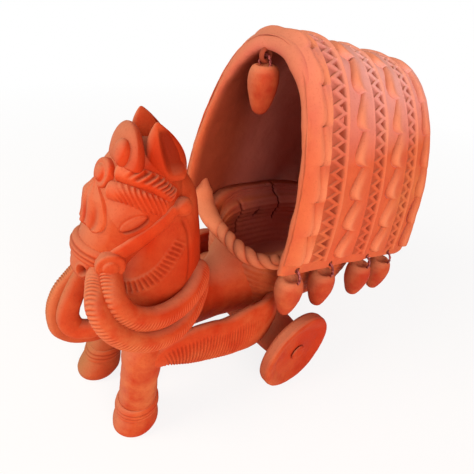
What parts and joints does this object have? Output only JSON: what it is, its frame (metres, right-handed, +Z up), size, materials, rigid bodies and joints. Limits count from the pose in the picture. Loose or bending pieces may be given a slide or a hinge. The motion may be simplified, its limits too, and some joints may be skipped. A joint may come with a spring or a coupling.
{
  "type": "terracotta horse cart ornament",
  "caption": "Fired clay ornament of a harnessed horse drawing a covered cart with an arched banded canopy, disc wheels that turn and clay bells that swing on wire loops.",
  "frame": {"origin": "centre of the bounding box at the ground, under hooves and wheels", "axes": "+Z up, -Y the way the horse faces, +X to the horse's left, along the axle"},
  "size_m": [0.131, 0.2538, 0.223],
  "materials": {
    "horse_clay": "matte",
    "harness_clay": "matte",
    "tub_clay": "matte",
    "wheel_clay": "matte",
    "canopy_clay": "matte",
    "bell_clay": "matte",
    "loop_wire": "satin"
  },
  "bodies": {
    "cart": {"horse_body": "horse_clay", "horse_head": "horse_clay", "forelock_crest": "horse_clay", "ear_left": "horse_clay", "ear_right": "horse_clay", "front_leg_left": "horse_clay", "front_leg_right": "horse_clay", "forehead_boss": "harness_clay", "crest_boss": "harness_clay", "nose_plate": "harness_clay", "noseband": "harness_clay", "brow_rope_upper_left": "harness_clay", "brow_rope_upper_right": "harness_clay", "brow_rope_lower_left": "harness_clay", "brow_rope_lower_right": "harness_clay", "muzzle_boss_left": "harness_clay", "muzzle_boss_right": "harness_clay", "cheek_strap_left": "harness_clay", "cheek_strap_right": "harness_clay", "ankle_band_left": "harness_clay", "ankle_band_right": "harness_clay", "rein_inner_left": "harness_clay", "rein_inner_right": "harness_clay", "rein_outer_left": "harness_clay", "rein_outer_right": "harness_clay", "shaft_left": "harness_clay", "shaft_right": "harness_clay", "cart_tub": "tub_clay", "axle_beam": "tub_clay", "axle_cap_left": "wheel_clay", "axle_cap_right": "wheel_clay", "tub_rim_rope": "canopy_clay", "canopy_shell": "canopy_clay", "canopy_back_panel": "canopy_clay", "canopy_trim_front": "canopy_clay", "canopy_band_1": "canopy_clay", "canopy_band_2": "canopy_clay", "canopy_band_3": "canopy_clay", "canopy_trim_rear": "canopy_clay"},
    "wheel_left": {"wheel_left": "wheel_clay"},
    "wheel_right": {"wheel_right": "wheel_clay"},
    "bell_front": {"bell_front": "bell_clay", "bell_front_loop": "loop_wire"},
    "bell_left_1": {"bell_left_1": "bell_clay", "bell_left_1_loop": "loop_wire"},
    "bell_left_2": {"bell_left_2": "bell_clay", "bell_left_2_loop": "loop_wire"},
    "bell_left_3": {"bell_left_3": "bell_clay", "bell_left_3_loop": "loop_wire"},
    "bell_left_4": {"bell_left_4": "bell_clay", "bell_left_4_loop": "loop_wire"},
    "bell_right_1": {"bell_right_1": "bell_clay", "bell_right_1_loop": "loop_wire"},
    "bell_right_2": {"bell_right_2": "bell_clay", "bell_right_2_loop": "loop_wire"},
    "bell_right_3": {"bell_right_3": "bell_clay", "bell_right_3_loop": "loop_wire"},
    "bell_right_4": {"bell_right_4": "bell_clay", "bell_right_4_loop": "loop_wire"}
  },
  "joints": [
    {"name": "wheel_left_spin", "type": "hinge", "parent": "cart", "child": "wheel_left", "pos_m": [0.06075, 0.00824, 0.0303], "axis": [1, 0, 0], "continuous": true},
    {"name": "wheel_right_spin", "type": "hinge", "parent": "cart", "child": "wheel_right", "pos_m": [-0.06075, 0.00824, 0.0303], "axis": [1, 0, 0], "continuous": true},
    {"name": "bell_front_swing", "type": "hinge", "parent": "cart", "child": "bell_front", "pos_m": [-0.005, 0.00789, 0.21048], "axis": [1, 0, 0], "range_deg": [-30, 30]},
    {"name": "bell_left_1_swing", "type": "hinge", "parent": "cart", "child": "bell_left_1", "pos_m": [0.05163, -0.00228, 0.10507], "axis": [1, 0, 0], "range_deg": [-15, 15]},
    {"name": "bell_left_2_swing", "type": "hinge", "parent": "cart", "child": "bell_left_2", "pos_m": [0.05299, 0.03038, 0.09656], "axis": [1, 0, 0], "range_deg": [-15, 15]},
    {"name": "bell_left_3_swing", "type": "hinge", "parent": "cart", "child": "bell_left_3", "pos_m": [0.05482, 0.0744, 0.08509], "axis": [1, 0, 0], "range_deg": [-15, 15]},
    {"name": "bell_left_4_swing", "type": "hinge", "parent": "cart", "child": "bell_left_4", "pos_m": [0.05606, 0.10422, 0.07732], "axis": [1, 0, 0], "range_deg": [-15, 15]},
    {"name": "bell_right_1_swing", "type": "hinge", "parent": "cart", "child": "bell_right_1", "pos_m": [-0.05275, 0.0247, 0.09804], "axis": [1, 0, 0], "range_deg": [-15, 15]},
    {"name": "bell_right_2_swing", "type": "hinge", "parent": "cart", "child": "bell_right_2", "pos_m": [-0.05387, 0.05168, 0.09101], "axis": [1, 0, 0], "range_deg": [-15, 15]},
    {"name": "bell_right_3_swing", "type": "hinge", "parent": "cart", "child": "bell_right_3", "pos_m": [-0.05499, 0.07866, 0.08398], "axis": [1, 0, 0], "range_deg": [-15, 15]},
    {"name": "bell_right_4_swing", "type": "hinge", "parent": "cart", "child": "bell_right_4", "pos_m": [-0.05611, 0.10564, 0.07695], "axis": [1, 0, 0], "range_deg": [-15, 15]}
  ]
}
